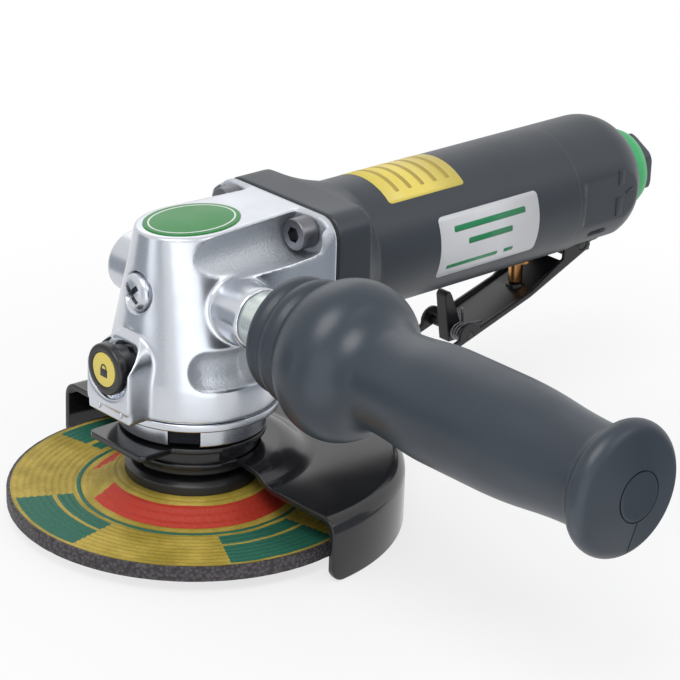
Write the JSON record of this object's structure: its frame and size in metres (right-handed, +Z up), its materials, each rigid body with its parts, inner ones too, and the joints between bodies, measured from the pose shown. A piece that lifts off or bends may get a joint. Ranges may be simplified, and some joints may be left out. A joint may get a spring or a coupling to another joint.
{
  "type": "air angle grinder",
  "caption": "Pneumatic angle grinder with a cast bevel gear head, round motor housing, lever throttle with lock-off latch, side handle, half wheel guard and a depressed-centre wheel.",
  "frame": {"origin": "middle of the wheel's working face, on the spindle axis", "axes": "+X along the motor towards the air inlet, side handle along -Y, +Z up along the spindle"},
  "size_m": [0.25, 0.2489, 0.0977],
  "materials": {
    "polished_aluminium": "polished casting",
    "black_oxide": "black oxide",
    "bright_steel": "plated",
    "zinc": "zinc plated",
    "gloss_black": "gloss black",
    "wheel_abrasive": "bonded abrasive with a printed face",
    "button_black": "satin black",
    "housing_grey": "fine grain moulded",
    "ring_green": "satin green",
    "inlet_black": "black",
    "brass": "turned",
    "handle_rubber": "matt",
    "steel": "ground",
    "motor_steel": "turned",
    "vane_composite": "laminated",
    "seal_rubber": "matt",
    "gasket": "matt"
  },
  "bodies": {
    "housing": {"gear_head": "polished_aluminium", "head_screws": "black_oxide", "head_gasket": "gasket", "grease_screw": "bright_steel", "bearing_cap": "polished_aluminium", "guard_retainer": "black_oxide", "spindle_bearing_upper": "steel", "spindle_bearing_lower": "steel", "spindle_seal": "seal_rubber", "rotor_bearing_front": "steel", "rotor_bearing_rear": "steel", "motor_housing": "housing_grey", "front_end_plate": "motor_steel", "motor_cylinder": "motor_steel", "rear_end_plate": "motor_steel", "inlet_bushing": "inlet_black", "inlet_screen": "brass", "inlet_o_ring": "seal_rubber", "valve_bushing": "brass", "valve_spring": "steel", "lock_spring": "steel", "lever_pin": "steel", "handle_stud": "zinc", "handle_collar": "zinc", "handle_grip": "handle_rubber"},
    "spindle": {"spindle": "steel", "bevel_gear": "steel", "gear_key": "steel", "inner_flange": "black_oxide", "grinding_wheel": "wheel_abrasive", "flange_nut": "black_oxide"},
    "rotor": {"rotor": "motor_steel", "rotor_vanes": "vane_composite", "bevel_pinion": "steel"},
    "guard": {"wheel_guard": "gloss_black", "guard_lock_ring": "gloss_black"},
    "lever": {"throttle_lever": "gloss_black", "latch_pin": "steel", "latch_spring": "zinc"},
    "latch": {"safety_latch": "gloss_black"},
    "valve": {"valve_stem": "brass", "valve_seal": "seal_rubber"},
    "lock": {"lock_button": "button_black", "lock_pin": "steel"},
    "regulator": {"regulator_ring": "ring_green"}
  },
  "joints": [
    {"name": "spindle_spin", "type": "hinge", "parent": "housing", "child": "spindle", "pos_m": [0, 0, 0], "axis": [0, 0, 1], "continuous": true},
    {"name": "rotor_spin", "type": "hinge", "parent": "housing", "child": "rotor", "pos_m": [0, 0, 0.06975], "axis": [1, 0, 0], "continuous": true},
    {"name": "guard_swivel", "type": "hinge", "parent": "housing", "child": "guard", "pos_m": [0, 0, 0], "axis": [0, 0, 1], "range_deg": [-90, 90]},
    {"name": "lever_squeeze", "type": "hinge", "parent": "housing", "child": "lever", "pos_m": [0.16, 0, 0.05045], "axis": [0, 1, 0], "range_deg": [0, 12], "stiffness_Nm_per_rad": 1.2, "springref_deg": -8.59},
    {"name": "latch_fold", "type": "hinge", "parent": "lever", "child": "latch", "pos_m": [0.109, 0, 0.02985], "axis": [0, -1, 0], "range_deg": [0, 70]},
    {"name": "valve_slide", "type": "slide", "parent": "housing", "child": "valve", "axis": [0, 0, 1], "range_m": [0, 0.005], "deforming": ["valve_spring"]},
    {"name": "lock_press", "type": "slide", "parent": "housing", "child": "lock", "axis": [1, 0, 0], "range_m": [0, 0.0042], "stiffness_N_per_m": 400, "springref_m": -0.004, "deforming": ["lock_spring"]},
    {"name": "regulator_turn", "type": "hinge", "parent": "housing", "child": "regulator", "pos_m": [0, 0, 0.06975], "axis": [1, 0, 0], "range_deg": [-45, 45]}
  ],
  "couplings": [
    {"joint": "rotor_spin", "follows": "spindle_spin", "ratio": 1.6667},
    {"joint": "valve_slide", "follows": "lever_squeeze", "m_per_rad": 0.0225},
    {"joint": "latch_fold", "follows": "lever_squeeze", "ratio": 5.6}
  ]
}
